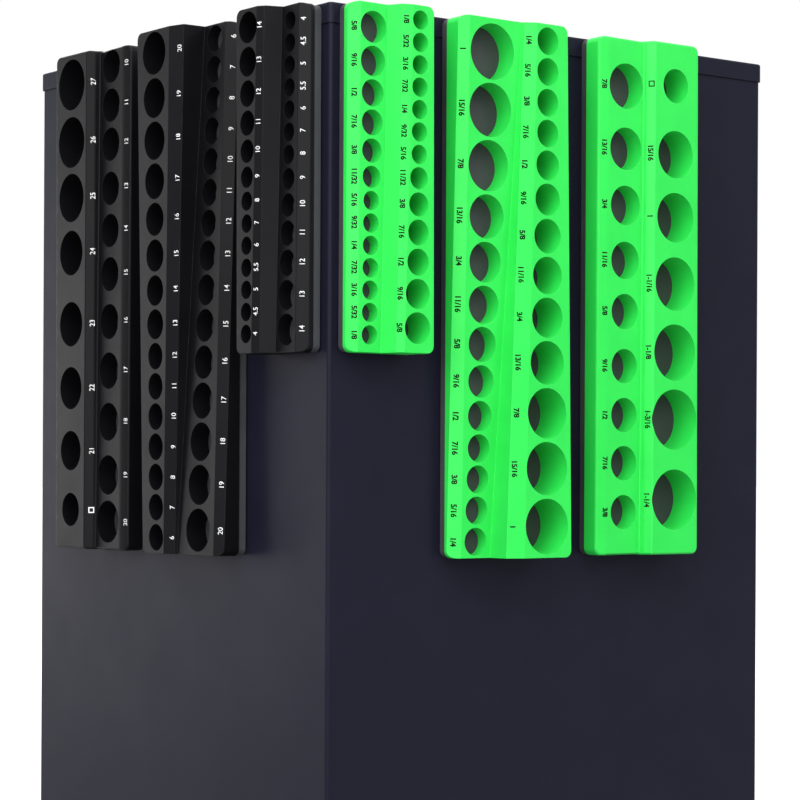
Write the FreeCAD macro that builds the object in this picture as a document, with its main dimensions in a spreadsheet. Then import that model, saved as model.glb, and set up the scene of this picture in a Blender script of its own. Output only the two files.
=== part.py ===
"""Steel drawer cabinet that carries six magnetic socket trays on two of its walls.

The cabinet stands on its base pan. Its four drawers open towards -Y, its back panel faces +Y
and its right side panel faces +X. Three inch trays hang on the back panel and three metric
trays on the right side panel, each counted from the corner that the two panels share.
"""
import FreeCAD, Part
import Sketcher
import os
import re

doc = FreeCAD.newDocument("SocketTrayCabinet")
sheet = doc.addObject("Spreadsheet::Sheet", "Sizes")
layout = doc.addObject("Spreadsheet::Sheet", "Layout")

# ---------------------------------------------------------------- driving dimensions, in mm
SIZES = [
    ("case_width", 388.0, "cabinet, side to side"),
    ("case_depth", 372.0, "cabinet, front to back"),
    ("case_height", 640.0, "floor to top of lid"),
    ("case_sheet", 1.0, "thickness of the wrapped shell"),
    ("case_bend", 2.5, "outside radius of the shell's bends"),
    ("post_width", 16.0, "shell's front return on each side"),
    ("lid_sheet", 1.2, "thickness of the lid"),
    ("lid_lip", 13.0, "height of the lid's lip"),
    ("lid_gap", 0.1, "clearance between lid lip and shell"),
    ("lid_bend", 1.6, "outside radius of the lid's edges"),
    ("pan_height", 22.0, "upturned edge of the base pan"),
    ("pan_gap", 0.2, "clearance between base pan and shell"),
    ("rail_sheet", 1.0, "thickness of the front rails"),
    ("top_rail_height", 42.0, "front rail above the drawers"),
    ("foot_rail_height", 36.0, "front rail below the drawers"),
    ("rail_return", 12.0, "folded edges of the front rails"),
    ("front_recess", 1.0, "drawer fronts and rails behind the shell's edge"),
    ("drawer_gap", 3.0, "height of the gap at each drawer front"),
    ("side_gap", 1.5, "gap beside a drawer front"),
    ("front_sheet", 1.0, "thickness of a drawer front"),
    ("front_fold", 14.0, "depth of the drawer front's folded edges"),
    ("box_sheet", 0.9, "thickness of a drawer box"),
    ("box_length", 336.0, "drawer box, front to back"),
    ("box_drop", 24.0, "drawer box below the top of its front"),
    ("box_lift", 6.0, "drawer box above the bottom of its front"),
    ("liner_sheet", 2.0, "thickness of the rubber liner"),
    ("liner_gap", 1.0, "clearance round the liner"),
    ("slide_width", 12.7, "ball slide, cabinet face to drawer face"),
    ("slide_height", 45.0, "ball slide, bottom to top"),
    ("slide_length", 320.0, "ball slide, closed"),
    ("slide_sheet", 1.2, "thickness of the slide members"),
    ("slide_nest", 0.8, "clearance between nested slide members"),
    ("slide_lift", 8.0, "bottom of the slide above the drawer box floor"),
    ("slide_setback", 1.3, "slide's cabinet face inside the edge of the posts"),
    ("slide_start", 2.0, "front end of the slide behind the folded front"),
    ("slide_flange", 8.3, "flanges of the nested slide members"),
    ("upright_width", 26.0, "slide upright, front to back"),
    ("upright_inset", 34.0, "slide upright from the front and back"),
    ("pull_depth", 15.0, "drawer pull, front to back"),
    ("pull_height", 24.0, "drawer pull, bottom to top"),
    ("pull_sheet", 2.0, "thickness of the pull's walls"),
    ("pull_lip", 9.0, "down-turned lip of the pull"),
    ("pull_inset", 4.0, "pull's ends from the ends of the front"),
    ("lock_offset", 60.0, "lock from the right side of the case"),
    ("lock_height", 17.0, "lock's centre above the bottom of the top rail"),
    ("lock_bore", 19.0, "hole in the rail for the lock"),
    ("lock_head", 22.0, "flange of the lock"),
    ("lock_head_height", 2.5, "thickness of the lock's flange"),
    ("lock_length", 17.5, "lock housing behind its flange"),
    ("lock_fit", 0.06, "radial clearance of the lock plug"),
    ("plug_bore", 12.0, "bore for the turning plug"),
    ("key_slot_width", 2.2, "key slot"),
    ("key_slot_length", 8.0, "key slot"),
    ("key_slot_depth", 6.0, "key slot"),
    ("cam_length", 40.0, "lock cam from end to end"),
    ("cam_width", 12.0, "lock cam"),
    ("cam_sheet", 2.0, "thickness of the cam"),
    ("cam_gap", 0.3, "cam behind the lock housing"),
    ("catch_width", 24.0, "catch on the top drawer, side to side"),
    ("catch_sheet", 1.5, "thickness of the catch"),
    ("catch_gap", 3.0, "catch behind the lock cam"),
    ("catch_drop", 0.8, "catch below the top of the drawer front"),
    ("tray_plate", 5.5, "thickness of a tray's base plate"),
    ("plate_inset", 0.6, "base plate's edge inside the tray body"),
    ("tray_corner", 5.0, "radius of a tray's corners"),
    ("magnet_bore", 20.0, "diameter of a magnet"),
    ("magnet_height", 3.0, "thickness of a magnet"),
    ("magnet_fit", 0.05, "radial clearance of a magnet in its pocket"),
    ("magnet_margin", 24.0, "first and last magnet from a tray's end"),
    ("magnet_inset", 16.0, "magnet rows from a tray's long edges"),
    ("tray_drop", 0.5, "top of the trays below the top of the lid"),
]

# drawer fronts from the top down; the last drawer fills what is left above the foot rail
DRAWER_HEIGHTS = [82.0, 112.0, 150.0]
DRAWERS = range(1, len(DRAWER_HEIGHTS) + 2)

# Each tray design: length and width, then the heights above the wall and the places across
# the tray, each at the near end (large bores in the front row) and at the far end. Between the
# low and the high step, a steep riser goes up to the knee and a gentler ledge goes on from it.
TRAY_SHAPES = {
    "quarter": {"length": 223.0, "width": 56.0, "wall": (9.0, 8.2), "low": (15.6, 14.4),
                "knee": (24.7, 25.8), "high": (27.0, 28.4), "facet": (5.6, 5.4),
                "step": (27.6, 23.6), "riser": (5.0, 4.0), "ledge": (6.2, 4.6),
                "front_row": (16.0, 14.6), "back_row": (45.0, 42.4)},
    "three_eighth": {"length": 355.6, "width": 86.0, "wall": (17.6, 7.6), "low": (21.6, 14.0),
                     "knee": (23.4, 30.4), "high": (27.6, 34.0), "facet": (6.6, 7.2),
                     "step": (51.0, 31.6), "riser": (0.6, 0.6), "ledge": (7.6, 12.8),
                     "front_row": (26.5, 19.0), "back_row": (68.6, 64.4)},
    "half": {"length": 355.6, "width": 86.0, "wall": (18.2, 17.2), "low": (20.2, 19.0),
             "knee": (22.5, 22.9), "high": (27.4, 28.6), "facet": (7.4, 7.4),
             "step": (40.1, 38.7), "riser": (0.6, 0.6), "ledge": (4.2, 2.8),
             "front_row": (23.9, 23.8), "back_row": (63.8, 63.2)},
}

# Bore diameters of each row, in order along the tray from its near end.
INCH_QUARTER = [20.4, 19.4, 17.4, 16.6, 15.5, 14.2] + [12.4] * 7
INCH_THREE_EIGHTH = [37.0, 35.6, 33.8, 29.2, 26.8, 25.2, 23.2, 21.5, 20.0] + [18.5] * 4
INCH_HALF = [31.2, 29.2, 27.2, 25.8, 24.4, 23.7, 23.7, 23.7, 23.4]
INCH_HALF_LARGE = [23.8, 33.0, 34.6, 37.2, 39.2, 42.0, 42.0]
METRIC_QUARTER = [20.5, 19.3, 17.2, 16.4, 15.2, 13.9, 12.5] + [12.0] * 6
METRIC_THREE_EIGHTH = [29.0, 27.0, 26.0, 24.3, 22.5, 22.0, 20.8, 20.4] + [18.2] * 7
METRIC_HALF = [30.0, 28.0, 27.0, 26.0, 25.0, 24.2] + [23.7] * 5
METRIC_HALF_LARGE = [24.0, 28.4, 30.4, 32.0, 32.2, 34.8, 36.6, 36.6]

# Each row of bores: margin to the first bore, gaps between bores (the last gap repeats), bores.
ROWS = {
    ("inch", "quarter", "front"): (5.4, [1.85], INCH_QUARTER),
    ("inch", "quarter", "back"): (3.4, [1.95], INCH_QUARTER[::-1]),
    ("inch", "three_eighth", "front"): (3.6, [2.0], INCH_THREE_EIGHTH),
    ("inch", "three_eighth", "back"): (2.3, [2.05], INCH_THREE_EIGHTH[::-1]),
    ("inch", "half", "front"): (17.2, [12.9, 10.8, 11.4, 10.1, 13.5, 10.0, 9.4, 10.1], INCH_HALF),
    ("inch", "half", "back"): (17.9, [19.3, 10.1, 10.2, 9.5, 6.0, 13.7], INCH_HALF_LARGE),
    ("metric", "quarter", "front"): (4.6, [2.25], METRIC_QUARTER),
    ("metric", "quarter", "back"): (6.8, [2.25], METRIC_QUARTER[::-1]),
    ("metric", "three_eighth", "front"): (2.4, [2.35], METRIC_THREE_EIGHTH),
    ("metric", "three_eighth", "back"): (2.0, [2.35], METRIC_THREE_EIGHTH[::-1]),
    ("metric", "half", "front"): (
        5.0, [4.1, 10.2, 9.7, 9.3, 9.1, 6.9, 6.2, 7.6, 4.0, 4.0], METRIC_HALF),
    ("metric", "half", "back"): (16.0, [16.2, 15.5, 14.8, 19.1, 6.1, 4.2, 4.8], METRIC_HALF_LARGE),
}

# magnets along each tray design, in two rows under its base plate
MAGNETS_ALONG = {"quarter": 3, "three_eighth": 5, "half": 5}

# near edge of each tray from the corner that its wall shares with the other wall
TRAY_PLACES = {
    ("inch", "quarter"): 6.0,
    ("inch", "three_eighth"): 89.4,
    ("inch", "half"): 212.0,
    ("metric", "quarter"): 7.4,
    ("metric", "three_eighth"): 91.4,
    ("metric", "half"): 213.4,
}

WORD = re.compile(r"[a-z][a-z0-9]*_[a-z0-9_]+")


def cell(name, value, note):
    """One driving size: its name, its value and what it measures."""
    line = cell.line
    sheet.set("A%d" % line, name)
    sheet.set("B%d" % line, repr(float(value)))
    sheet.setAlias("B%d" % line, name)
    sheet.set("C%d" % line, note)
    cell.line = line + 1


cell.line = 1


def worked_out(name, formula):
    """One place worked out from the driving sizes, kept on the layout sheet."""
    line = worked_out.line
    layout.set("A%d" % line, name)
    layout.set("B%d" % line, "=" + bound(formula))
    layout.setAlias("B%d" % line, name)
    worked_out.names.add(name)
    worked_out.line = line + 1


worked_out.line = 1
worked_out.names = set()


def bound(formula):
    """Point every size named in a formula at its sheet."""
    def home(match):
        word = match.group(0)
        return ("Layout." if word in worked_out.names else "Sizes.") + word
    return WORD.sub(home, formula)


# ---------------------------------------------------------------- the sheets
for size in SIZES:
    cell(*size)
for number, height in enumerate(DRAWER_HEIGHTS, 1):
    cell("drawer_height_%d" % number, height, "front of drawer %d" % number)
for design, shape in TRAY_SHAPES.items():
    for key, value in shape.items():
        if isinstance(value, tuple):
            cell("%s_%s_near" % (design, key), value[0], "at the near end")
            cell("%s_%s_far" % (design, key), value[1], "at the far end")
        else:
            cell("%s_%s" % (design, key), value, "tray's %s" % key)
for (system, design), place in TRAY_PLACES.items():
    cell("%s_%s_place" % (system, design), place, "tray from the shared corner")
for (system, design, row), (first, gaps, bores) in ROWS.items():
    stem = "%s_%s_%s" % (system, design, row)
    cell(stem + "_margin", first, "tray end to first bore")
    for number, gap in enumerate(gaps, 1):
        cell("%s_gap_%d" % (stem, number), gap, "between bores")
    for number, bore in enumerate(bores, 1):
        cell("%s_bore_%d" % (stem, number), bore, "socket bore")
sheet.recompute()

worked_out("side_reach", "case_width / 2")
worked_out("back_reach", "case_depth / 2")
worked_out("shell_top", "case_height - lid_sheet")
worked_out("lid_overhang", "lid_gap + lid_sheet")
worked_out("front_face", "-back_reach + front_recess")
worked_out("front_width", "case_width - 2 * post_width - 2 * side_gap")
worked_out("rail_bottom", "shell_top - top_rail_height")
worked_out("rail_width", "case_width - 2 * case_bend - 2 * pan_gap")
worked_out("pan_front", "front_face + rail_sheet + pan_gap")
worked_out("pan_depth", "back_reach - case_sheet - pan_gap - pan_front")
worked_out("slide_face", "side_reach - post_width - slide_setback")
worked_out("box_side", "slide_face - slide_width")
worked_out("box_front", "front_face + front_sheet")
worked_out("slide_front", "front_face + front_fold + slide_start")
worked_out("upright_bottom", "pan_height + pan_gap")
worked_out("upright_height", "shell_top - upright_bottom")
worked_out("upright_depth", "side_reach - case_sheet - slide_face")
worked_out("lock_across", "side_reach - lock_offset")
worked_out("lock_up", "rail_bottom + lock_height")
worked_out("lock_back", "front_face + lock_length")
worked_out("cam_front", "lock_back + cam_gap")
above = "rail_bottom"
for number in DRAWERS:
    worked_out("front_top_%d" % number, "%s - drawer_gap" % above)
    if number <= len(DRAWER_HEIGHTS):
        below = "front_top_%d - drawer_height_%d" % (number, number)
    else:
        below = "foot_rail_height + drawer_gap"
    worked_out("front_bottom_%d" % number, below)
    worked_out("box_floor_%d" % number, "front_bottom_%d + box_lift" % number)
    worked_out("slide_bottom_%d" % number, "box_floor_%d + slide_lift" % number)
    above = "front_bottom_%d" % number
for (system, design, row), (first, gaps, bores) in ROWS.items():
    stem = "%s_%s_%s" % (system, design, row)
    place = "%s_margin + %s_bore_1 / 2" % (stem, stem)
    for number in range(1, len(bores) + 1):
        worked_out("%s_at_%d" % (stem, number), place)
        gap = "%s_gap_%d" % (stem, min(number, len(gaps)))
        place = "%s_at_%d + %s_bore_%d / 2 + %s + %s_bore_%d / 2" % (
            stem, number, stem, number, gap, stem, number + 1)
layout.recompute()

# ---------------------------------------------------------------- helpers
PIECES = {}


def keep(name, piece):
    """Name a finished piece, which is then written out under that name."""
    piece.Label = name
    PIECES[name] = piece
    return piece


def block(name, start, size):
    """A box from its lowest corner and its three lengths, each a formula."""
    box = doc.addObject("Part::Box", name)
    for axis, formula in zip("xyz", start):
        box.setExpression("Placement.Base." + axis, bound(formula))
    for side, formula in zip(("Length", "Width", "Height"), size):
        box.setExpression(side, bound(formula))
    return box


def cut(name, base, tool):
    """What is left of one solid after another is taken out of it."""
    result = doc.addObject("Part::Cut", name)
    result.Base = base
    result.Tool = tool
    return result


def group(name, members):
    """Several like solids kept as one piece."""
    result = doc.addObject("Part::Compound", name)
    result.Links = members
    return result


def new_sketch(body, name, role, lift=None):
    """An empty sketch on one of a body's own planes, raised by a formula."""
    sketch = body.newObject("Sketcher::SketchObject", name)
    plane = [item for item in body.Origin.OriginFeatures if item.Role == role][0]
    sketch.AttachmentSupport = (plane, [""])
    sketch.MapMode = "FlatFace"
    if lift:
        sketch.setExpression("AttachmentOffset.Base.z", bound(lift))
    return sketch


def place_point(sketch, geometry, end, label, across, up):
    """Hold a point of a sketch at two distances from the origin."""
    for kind, formula in (("DistanceX", across), ("DistanceY", up)):
        index = sketch.addConstraint(Sketcher.Constraint(kind, -1, 1, geometry, end, 1.0))
        name = "%s_%s" % (label, kind[-1].lower())
        sketch.renameConstraint(index, name)
        sketch.setExpression("Constraints." + name, bound(formula))


def outline(body, name, role, points, lift=None):
    """A closed outline of straight lines through points given as pairs of formulas."""
    sketch = new_sketch(body, name, role, lift)
    count = len(points)
    corners = [FreeCAD.Rotation(FreeCAD.Vector(0, 0, 1), 360.0 * index / count).multVec(
        FreeCAD.Vector(10, 0, 0)) for index in range(count)]
    for index in range(count):
        sketch.addGeometry(Part.LineSegment(corners[index], corners[(index + 1) % count]), False)
    for index in range(count):
        following = (index + 1) % count
        sketch.addConstraint(Sketcher.Constraint("Coincident", index, 2, following, 1))
    for index, (across, up) in enumerate(points):
        place_point(sketch, index, 1, "corner%d" % index, across, up)
    return sketch


def rounds(body, name, role, circles, lift=None):
    """Circles, each given by its two places and its radius."""
    sketch = new_sketch(body, name, role, lift)
    for index, (across, up, radius) in enumerate(circles):
        centre = FreeCAD.Vector(40.0 * index, 0, 0)
        sketch.addGeometry(Part.Circle(centre, FreeCAD.Vector(0, 0, 1), 5.0), False)
        place_point(sketch, index, 3, "centre%d" % index, across, up)
        held = sketch.addConstraint(Sketcher.Constraint("Radius", index, 5.0))
        sketch.renameConstraint(held, "radius%d" % index)
        sketch.setExpression("Constraints.radius%d" % index, bound(radius))
    return sketch


def rectangle(low_x, low_y, high_x, high_y):
    """The four corners of a rectangle."""
    return [(low_x, low_y), (high_x, low_y), (high_x, high_y), (low_x, high_y)]


def pad(body, name, sketch, length, centred=False):
    """Thicken a sketch by a formula."""
    feature = body.newObject("PartDesign::Pad", name)
    feature.Profile = sketch
    feature.setExpression("Length", bound(length))
    feature.Midplane = centred
    return feature


def pocket(body, name, sketch, length, forward):
    """Cut a sketch into a body, with or against the sketch's normal."""
    doc.recompute()
    before = body.Shape.Volume
    feature = body.newObject("PartDesign::Pocket", name)
    feature.Profile = sketch
    feature.setExpression("Length", bound(length))
    feature.Reversed = forward
    doc.recompute()
    if body.Shape.Volume >= before:
        raise RuntimeError("%s cuts nothing" % name)
    return feature


def fillet(body, name, radius, wanted):
    """Round the edges of a body's tip that the test picks out."""
    doc.recompute()
    tip = body.Tip
    edges = ["Edge%d" % number for number, edge in enumerate(tip.Shape.Edges, 1) if wanted(edge)]
    if not edges:
        raise RuntimeError("%s rounds nothing" % name)
    feature = body.newObject("PartDesign::Fillet", name)
    feature.Base = (tip, edges)
    feature.setExpression("Radius", bound(radius))
    return feature


def runs_along(edge, axis):
    """True for a straight edge along the axis with this index."""
    if edge.Curve.TypeId != "Part::GeomLine":
        return False
    direction = edge.Curve.Direction
    return abs(abs(direction[axis]) - 1) < 1e-6


def outer_corner(edge, box):
    """True for an upright edge at a corner of the box around its solid."""
    if not runs_along(edge, 2):
        return False
    middle = edge.CenterOfMass
    at_side = min(abs(middle.x - box.XMin), abs(middle.x - box.XMax)) < 1e-6
    return at_side and min(abs(middle.y - box.YMin), abs(middle.y - box.YMax)) < 1e-6


def new_body(name):
    """An empty PartDesign body."""
    return doc.addObject("PartDesign::Body", name)


# ---------------------------------------------------------------- cabinet
def make_shell():
    """Sides and back, wrapped from one sheet, with a return down each side of the front."""
    body = new_body("ShellBody")
    right, back, sheet_in = "side_reach", "back_reach", "case_sheet"
    points = [("%s - post_width" % right, "-%s" % back), (right, "-%s" % back), (right, back),
              ("-%s" % right, back), ("-%s" % right, "-%s" % back),
              ("-%s + post_width" % right, "-%s" % back),
              ("-%s + post_width" % right, "-%s + %s" % (back, sheet_in)),
              ("-%s + %s" % (right, sheet_in), "-%s + %s" % (back, sheet_in)),
              ("-%s + %s" % (right, sheet_in), "%s - %s" % (back, sheet_in)),
              ("%s - %s" % (right, sheet_in), "%s - %s" % (back, sheet_in)),
              ("%s - %s" % (right, sheet_in), "-%s + %s" % (back, sheet_in)),
              ("%s - post_width" % right, "-%s + %s" % (back, sheet_in))]
    profile = outline(body, "ShellProfile", "XY_Plane", points)
    pad(body, "ShellPad", profile, "shell_top")
    doc.recompute()
    box = body.Shape.BoundBox
    fillet(body, "ShellOuterBends", "case_bend", lambda edge: outer_corner(edge, box))

    def inner_corner(edge):
        if not runs_along(edge, 2):
            return False
        middle = edge.CenterOfMass
        inset = sheet.get("case_sheet")
        near_side = abs(abs(middle.x) - (box.XMax - inset)) < 1e-6
        return near_side and abs(abs(middle.y) - (box.YMax - inset)) < 1e-6

    fillet(body, "ShellInnerBends", "case_bend - case_sheet", inner_corner)
    return keep("shell_wrap", body)


def make_lid():
    """Top of the cabinet: a folded cap whose lip goes down over the shell."""
    body = new_body("LidBody")
    reach_x = "side_reach + lid_overhang"
    reach_y = "back_reach + lid_overhang"
    plan = outline(body, "LidPlan", "XY_Plane",
                   rectangle("-(%s)" % reach_x, "-(%s)" % reach_y, reach_x, reach_y),
                   "case_height - lid_lip")
    pad(body, "LidPad", plan, "lid_lip")
    doc.recompute()
    box = body.Shape.BoundBox
    fillet(body, "LidCorners", "case_bend + lid_overhang", lambda edge: outer_corner(edge, box))
    top_edge = lambda edge: abs(edge.BoundBox.ZMin - box.ZMax) < 1e-6
    fillet(body, "LidTopEdge", "lid_bend", top_edge)
    hollow_x = "side_reach + lid_gap"
    hollow_y = "back_reach + lid_gap"
    hollow = outline(body, "LidHollow", "XY_Plane",
                     rectangle("-(%s)" % hollow_x, "-(%s)" % hollow_y, hollow_x, hollow_y),
                     "case_height - lid_lip")
    pocket(body, "LidInside", hollow, "lid_lip - lid_sheet", True)
    return keep("top_lid", body)


def make_base_pan():
    """Floor of the cabinet, a pan with upturned edges inside the foot of the shell."""
    outer = block("PanOuter", ("-rail_width / 2", "pan_front", "0 * pan_gap"),
                  ("rail_width", "pan_depth", "pan_height"))
    inner = block("PanInner", ("-rail_width / 2 + case_sheet", "pan_front + case_sheet", "case_sheet"),
                  ("rail_width - 2 * case_sheet", "pan_depth - 2 * case_sheet", "pan_height"))
    return keep("base_pan", cut("BasePan", outer, inner))


def make_rails():
    """Front rails above and below the drawers, behind the posts."""
    upper = new_body("TopRailBody")
    face, back = "front_face", "front_face + rail_return"
    low, high = "rail_bottom", "shell_top"
    points = [(face, low), (back, low), (back, low + " + rail_sheet"),
              (face + " + rail_sheet", low + " + rail_sheet"),
              (face + " + rail_sheet", high + " - rail_sheet"), (back, high + " - rail_sheet"),
              (back, high), (face, high)]
    profile = outline(upper, "TopRailProfile", "YZ_Plane", points)
    pad(upper, "TopRailPad", profile, "rail_width", True)
    hole = rounds(upper, "LockHole", "XZ_Plane", [("lock_across", "lock_up", "lock_bore / 2")],
                  "-(front_face)")
    pocket(upper, "LockHolePocket", hole, "rail_sheet", False)
    keep("top_rail", upper)

    lower = new_body("FootRailBody")
    top = "foot_rail_height"
    points = [(face, "0 * rail_sheet"), (face + " + rail_sheet", "0 * rail_sheet"),
              (face + " + rail_sheet", top + " - rail_sheet"), (back, top + " - rail_sheet"),
              (back, top), (face, top)]
    profile = outline(lower, "FootRailProfile", "YZ_Plane", points)
    pad(lower, "FootRailPad", profile, "rail_width", True)
    keep("foot_rail", lower)


def make_uprights():
    """Four hat channels on the shell's sides, which carry the slides."""
    members = []
    rows = {"Front": "-back_reach + upright_inset", "Back": "back_reach - upright_inset - upright_width"}
    sides = {"Left": ("-side_reach + case_sheet", "-side_reach + case_sheet"),
             "Right": ("slide_face", "slide_face + case_sheet")}
    for row, start in rows.items():
        for side, (outer_x, hollow_x) in sides.items():
            name = "Upright" + row + side
            outer = block(name + "Outer", (outer_x, start, "upright_bottom"),
                          ("upright_depth", "upright_width", "upright_height"))
            inner = block(name + "Inner", (hollow_x, start + " + case_sheet", "upright_bottom"),
                          ("upright_depth - case_sheet", "upright_width - 2 * case_sheet",
                           "upright_height"))
            members.append(cut(name, outer, inner))
    return keep("slide_uprights", group("Uprights", members))


# ---------------------------------------------------------------- slides and drawers
def slide_member(name, number, side, nest, opens_out):
    """One channel of a ball slide; nest counts the channels around it."""
    shrink = "%d * (slide_sheet + slide_nest)" % nest
    high = "slide_height - 2 * %s" % shrink
    deep = "slide_flange"
    if opens_out:
        start = "slide_width - slide_flange"
        hollow = "slide_width - slide_flange"
    else:
        start = shrink
        hollow = "%s + slide_sheet" % shrink
    bottom = "slide_bottom_%d + %s" % (number, shrink)
    web = "slide_flange - slide_sheet"

    def across(depth, width):
        if side == "Left":
            return "-slide_face + (%s)" % depth
        return "slide_face - (%s) - (%s)" % (depth, width)

    outer = block(name + "Outer", (across(start, deep), "slide_front", bottom),
                  (deep, "slide_length", high))
    inner = block(name + "Inner", (across(hollow, web), "slide_front", bottom + " + slide_sheet"),
                  (web, "slide_length", "%s - 2 * slide_sheet" % high))
    return cut(name, outer, inner)


def make_slides():
    """Ball slides on both sides of each drawer, each of three nested members."""
    fixed = []
    for number in DRAWERS:
        middle, moving = [], []
        for side in ("Left", "Right"):
            stem = "Slide%d%s" % (number, side)
            fixed.append(slide_member(stem + "Fixed", number, side, 0, False))
            middle.append(slide_member(stem + "Middle", number, side, 1, False))
            moving.append(slide_member(stem + "Moving", number, side, 2, True))
        keep("slide_middle_%d" % number, group("SlideMiddle%d" % number, middle))
        keep("slide_inner_%d" % number, group("SlideInner%d" % number, moving))
    keep("slide_fixed", group("SlideFixed", fixed))


def make_drawer(number):
    """A drawer: folded box, folded front, pull and liner."""
    tag = "Drawer%d" % number
    top, bottom = "front_top_%d" % number, "front_bottom_%d" % number
    floor = "box_floor_%d" % number
    box_high = "%s - box_drop - %s" % (top, floor)
    outer = block(tag + "BoxOuter", ("-box_side", "box_front", floor),
                  ("2 * box_side", "box_length", box_high))
    inner = block(tag + "BoxInner", ("-box_side + box_sheet", "box_front + box_sheet",
                                     floor + " + box_sheet"),
                  ("2 * (box_side - box_sheet)", "box_length - 2 * box_sheet", box_high))
    keep("drawer_box_%d" % number, cut(tag + "Box", outer, inner))

    front = block(tag + "FrontOuter", ("-front_width / 2", "front_face", bottom),
                  ("front_width", "front_fold", "%s - %s" % (top, bottom)))
    hollow = block(tag + "FrontInner", ("-front_width / 2 + front_sheet", "front_face + front_sheet",
                                        bottom + " + front_sheet"),
                   ("front_width - 2 * front_sheet", "front_fold",
                    "%s - %s - 2 * front_sheet" % (top, bottom)))
    keep("drawer_front_%d" % number, cut(tag + "Front", front, hollow))

    body = new_body(tag + "PullBody")
    near, far = "front_face - pull_depth", "front_face"
    points = [(far, top), (near, top), (near, top + " - pull_lip"),
              (near + " + pull_sheet", top + " - pull_lip"),
              (near + " + pull_sheet", top + " - pull_sheet"),
              (far + " - pull_sheet", top + " - pull_sheet"),
              (far + " - pull_sheet", top + " - pull_height"), (far, top + " - pull_height")]
    profile = outline(body, tag + "PullProfile", "YZ_Plane", points)
    pad(body, tag + "PullPad", profile, "front_width - 2 * pull_inset", True)
    keep("drawer_pull_%d" % number, body)

    liner = block(tag + "Liner", ("-box_side + box_sheet + liner_gap",
                                  "box_front + box_sheet + liner_gap", floor + " + box_sheet"),
                  ("2 * (box_side - box_sheet - liner_gap)",
                   "box_length - 2 * (box_sheet + liner_gap)", "liner_sheet"))
    keep("drawer_liner_%d" % number, liner)


# ---------------------------------------------------------------- lock
def make_lock():
    """Cam lock in the top rail; its cam turns down in front of a catch on the top drawer."""
    housing = new_body("LockHousingBody")
    centre = ("lock_across", "lock_up")
    head = rounds(housing, "LockHead", "XZ_Plane", [centre + ("lock_head / 2",)], "-(front_face)")
    pad(housing, "LockHeadPad", head, "lock_head_height")
    barrel = rounds(housing, "LockBarrel", "XZ_Plane", [centre + ("lock_bore / 2 - lock_fit",)],
                    "-(front_face)")
    stem = pad(housing, "LockBarrelPad", barrel, "lock_length")
    stem.Reversed = True
    bore = rounds(housing, "PlugBore", "XZ_Plane", [centre + ("plug_bore / 2 + lock_fit",)],
                  "-(front_face) + lock_head_height")
    pocket(housing, "PlugBorePocket", bore, "lock_head_height + lock_length", False)
    keep("lock_housing", housing)

    plug = new_body("LockPlugBody")
    disc = rounds(plug, "PlugDisc", "XZ_Plane", [centre + ("plug_bore / 2",)],
                  "-(front_face) + lock_head_height")
    barrel = pad(plug, "PlugPad", disc, "lock_head_height + lock_length + cam_gap")
    barrel.Reversed = True
    slot = outline(plug, "KeySlot", "XZ_Plane",
                   rectangle("lock_across - key_slot_width / 2", "lock_up - key_slot_length / 2",
                             "lock_across + key_slot_width / 2", "lock_up + key_slot_length / 2"),
                   "-(front_face) + lock_head_height")
    pocket(plug, "KeySlotPocket", slot, "key_slot_depth", False)
    keep("lock_plug", plug)

    cam = block("LockCam", ("lock_across - cam_length + cam_width / 2", "cam_front",
                            "lock_up - cam_width / 2"), ("cam_length", "cam_sheet", "cam_width"))
    keep("lock_cam", cam)

    catch = new_body("LockCatchBody")
    low, high = "front_top_1 - box_drop", "front_top_1 - catch_drop"
    face = "cam_front + cam_sheet + catch_gap"
    points = [("box_front", low), (face + " + catch_sheet", low), (face + " + catch_sheet", high),
              (face, high), (face, low + " + catch_sheet"), ("box_front", low + " + catch_sheet")]
    profile = outline(catch, "LockCatchProfile", "YZ_Plane", points)
    pad(catch, "LockCatchPad", profile, "catch_width", True)
    catch.setExpression("Placement.Base.x", bound("lock_across"))
    keep("lock_catch", catch)


# ---------------------------------------------------------------- trays
def tray_frame(system):
    """How a tray's own axes lie on the cabinet: along it, across it and off the wall."""
    if system == "inch":
        axes = ((0, 0, -1), (-1, 0, 0), (0, 1, 0))
    else:
        axes = ((0, 0, 1), (0, -1, 0), (1, 0, 0))
    along, across, off = [FreeCAD.Vector(*axis) for axis in axes]
    return FreeCAD.Rotation(along, across, off, "XYZ")


def hang(piece, system, design):
    """Put a tray's piece on its wall."""
    place = "%s_%s_place" % (system, design)
    if system == "inch":
        start = ("side_reach - %s" % place, "back_reach + lid_overhang", "case_height - tray_drop")
    else:
        start = ("side_reach + lid_overhang", "back_reach - %s" % place,
                 "case_height - tray_drop - %s_length" % design)
    piece.Placement = FreeCAD.Placement(FreeCAD.Vector(0, 0, 0), tray_frame(system))
    for axis, formula in zip("xyz", start):
        piece.setExpression("Placement.Base." + axis, bound(formula))


def section(design, end):
    """Outline of a tray's two steps at one of its ends, above the base plate."""
    def size(key):
        return "%s_%s_%s" % (design, key, end)
    width = design + "_width"
    foot = size("step")
    knee = "%s + %s" % (foot, size("riser"))
    return [("0 * tray_plate", "tray_plate"), ("0 * tray_plate", size("wall")),
            (size("facet"), size("low")), (foot, size("low")), (knee, size("knee")),
            ("%s + %s" % (knee, size("ledge")), size("high")), (width, size("high")),
            (width, "tray_plate")]


def rounded_block(body, tag, design, inset, lift, height):
    """A tray's plan with rounded corners, thickened."""
    length, width = design + "_length", design + "_width"
    corners = rectangle(inset, inset, "%s - %s" % (length, inset), "%s - %s" % (width, inset))
    plan = outline(body, tag + "Plan", "XY_Plane", corners, lift)
    pad(body, tag + "Block", plan, height)
    doc.recompute()
    box = body.Shape.BoundBox
    fillet(body, tag + "Corners", "tray_corner - (%s)" % inset, lambda edge: outer_corner(edge, box))


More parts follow.
